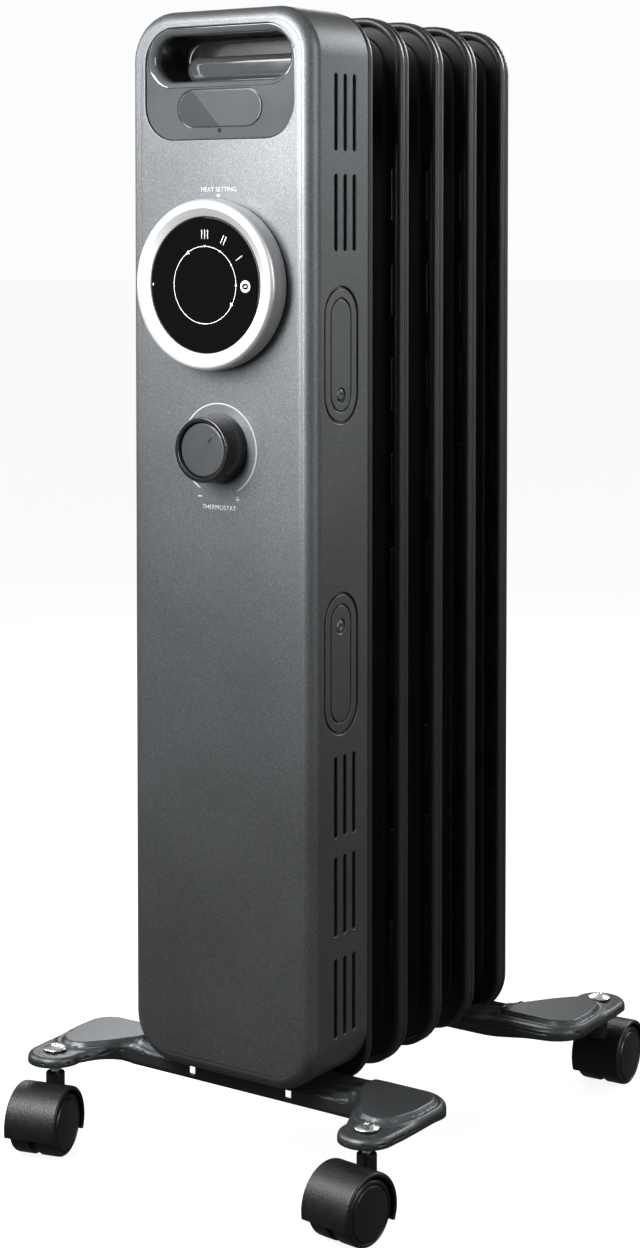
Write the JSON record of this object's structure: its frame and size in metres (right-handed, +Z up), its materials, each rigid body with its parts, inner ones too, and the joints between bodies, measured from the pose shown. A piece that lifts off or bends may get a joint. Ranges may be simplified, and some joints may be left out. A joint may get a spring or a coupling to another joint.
{
  "type": "oil filled radiator heater",
  "caption": "Upright oil filled column heater: flat pressed fins behind a slim casing with a grip, a stepped dial and a thermostat knob, on pressed feet with twin-wheel casters.",
  "frame": {"origin": "on the floor, under the middle of the bounding box", "axes": "+Z up, -Y out of the face with the controls, +X to the right of a person facing the controls"},
  "size_m": [0.2381, 0.3199, 0.62],
  "materials": {
    "fin_coat": "black textured powder coat",
    "casing_paint": "dark grey metallic paint, satin",
    "panel_gloss": "dark grey, glossy moulded",
    "badge_gloss": "grey, glossy",
    "lamp_lens": "dark red lens",
    "silver_ring": "satin silver",
    "black_glass": "gloss black with white print",
    "black_plastic": "black moulded",
    "knob_grey": "grey moulded",
    "foot_paint": "dark grey metallic paint, satin gloss",
    "caster_plastic": "black, fine grain",
    "wheel_plastic": "dark grey-black, smooth",
    "chrome": "bright plated",
    "zinc_steel": "zinc plated",
    "element_steel": "drawn sheath",
    "brass": "turned",
    "ivory_plastic": "moulded",
    "grey_plastic": "moulded",
    "black_rubber": "moulded",
    "wire_red": "silicone sleeve"
  },
  "bodies": {
    "heater": {"fin_1": "fin_coat", "fin_2": "fin_coat", "fin_3": "fin_coat", "fin_4": "fin_coat", "fin_5": "fin_coat", "upper_collars": "fin_coat", "lower_collars": "fin_coat", "heating_element": "element_steel", "element_flange": "brass", "filler_plug": "zinc_steel", "casing": "casing_paint", "handle_panel": "panel_gloss", "badge_plate": "badge_gloss", "pilot_lamp": "lamp_lens", "side_clips": "casing_paint", "clip_screws": "casing_paint", "control_bracket": "zinc_steel", "rotary_switch": "ivory_plastic", "thermostat": "grey_plastic", "heat_shield": "zinc_steel", "thermal_cutout": "black_plastic", "tip_over_switch": "ivory_plastic", "terminal_block": "ivory_plastic", "wiring": "wire_red", "cord_inlet_bush": "black_rubber", "front_foot": "foot_paint", "rear_foot": "foot_paint", "front_saddle": "zinc_steel", "rear_saddle": "zinc_steel", "u_bolts": "chrome", "bolt_nuts": "chrome", "caster_stems": "chrome", "cap_nuts": "chrome"},
    "dial": {"dial_bezel": "silver_ring", "dial_carrier": "black_plastic", "dial_glass": "black_glass", "dial_shaft": "zinc_steel"},
    "thermostat_knob": {"knob_shell": "black_plastic", "knob_cap": "knob_grey", "knob_shaft": "zinc_steel"},
    "swivel_front_left": {"caster_hood_front_left": "caster_plastic", "caster_axle_front_left": "chrome"},
    "outer_wheel_front_left": {"wheel_outer_front_left": "wheel_plastic"},
    "inner_wheel_front_left": {"wheel_inner_front_left": "wheel_plastic"},
    "swivel_front_right": {"caster_hood_front_right": "caster_plastic", "caster_axle_front_right": "chrome"},
    "outer_wheel_front_right": {"wheel_outer_front_right": "wheel_plastic"},
    "inner_wheel_front_right": {"wheel_inner_front_right": "wheel_plastic"},
    "swivel_rear_left": {"caster_hood_rear_left": "caster_plastic", "caster_axle_rear_left": "chrome"},
    "outer_wheel_rear_left": {"wheel_outer_rear_left": "wheel_plastic"},
    "inner_wheel_rear_left": {"wheel_inner_rear_left": "wheel_plastic"},
    "swivel_rear_right": {"caster_hood_rear_right": "caster_plastic", "caster_axle_rear_right": "chrome"},
    "outer_wheel_rear_right": {"wheel_outer_rear_right": "wheel_plastic"},
    "inner_wheel_rear_right": {"wheel_inner_rear_right": "wheel_plastic"}
  },
  "joints": [
    {"name": "dial_turn", "type": "hinge", "parent": "heater", "child": "dial", "pos_m": [0, -0.1088, 0.4754], "axis": [0, -1, 0], "range_deg": [0, 90]},
    {"name": "thermostat_turn", "type": "hinge", "parent": "heater", "child": "thermostat_knob", "pos_m": [0, -0.1088, 0.3895], "axis": [0, -1, 0], "range_deg": [-112, 188]},
    {"name": "swivel_front_left_turn", "type": "hinge", "parent": "heater", "child": "swivel_front_left", "pos_m": [-0.1029, -0.1231, 0], "axis": [0, 0, 1], "continuous": true},
    {"name": "outer_wheel_front_left_spin", "type": "hinge", "parent": "swivel_front_left", "child": "outer_wheel_front_left", "pos_m": [-0.09935, -0.13633, 0.017], "axis": [0.9659, 0.2588, 0], "continuous": true},
    {"name": "inner_wheel_front_left_spin", "type": "hinge", "parent": "swivel_front_left", "child": "inner_wheel_front_left", "pos_m": [-0.09935, -0.13633, 0.017], "axis": [0.9659, 0.2588, 0], "continuous": true},
    {"name": "swivel_front_right_turn", "type": "hinge", "parent": "heater", "child": "swivel_front_right", "pos_m": [0.1029, -0.1231, 0], "axis": [0, 0, 1], "continuous": true},
    {"name": "outer_wheel_front_right_spin", "type": "hinge", "parent": "swivel_front_right", "child": "outer_wheel_front_right", "pos_m": [0.10147, -0.13673, 0.017], "axis": [0.9945, -0.1045, 0], "continuous": true},
    {"name": "inner_wheel_front_right_spin", "type": "hinge", "parent": "swivel_front_right", "child": "inner_wheel_front_right", "pos_m": [0.10147, -0.13673, 0.017], "axis": [0.9945, -0.1045, 0], "continuous": true},
    {"name": "swivel_rear_left_turn", "type": "hinge", "parent": "heater", "child": "swivel_rear_left", "pos_m": [-0.1029, 0.125, 0], "axis": [0, 0, 1], "continuous": true},
    {"name": "outer_wheel_rear_left_spin", "type": "hinge", "parent": "swivel_rear_left", "child": "outer_wheel_rear_left", "pos_m": [-0.10218, 0.13868, 0.017], "axis": [-0.9986, 0.0523, 0], "continuous": true},
    {"name": "inner_wheel_rear_left_spin", "type": "hinge", "parent": "swivel_rear_left", "child": "inner_wheel_rear_left", "pos_m": [-0.10218, 0.13868, 0.017], "axis": [-0.9986, 0.0523, 0], "continuous": true},
    {"name": "swivel_rear_right_turn", "type": "hinge", "parent": "heater", "child": "swivel_rear_right", "pos_m": [0.1029, 0.125, 0], "axis": [0, 0, 1], "continuous": true},
    {"name": "outer_wheel_rear_right_spin", "type": "hinge", "parent": "swivel_rear_right", "child": "outer_wheel_rear_right", "pos_m": [0.10218, 0.13868, 0.017], "axis": [-0.9986, -0.0523, 0], "continuous": true},
    {"name": "inner_wheel_rear_right_spin", "type": "hinge", "parent": "swivel_rear_right", "child": "inner_wheel_rear_right", "pos_m": [0.10218, 0.13868, 0.017], "axis": [-0.9986, -0.0523, 0], "continuous": true}
  ]
}
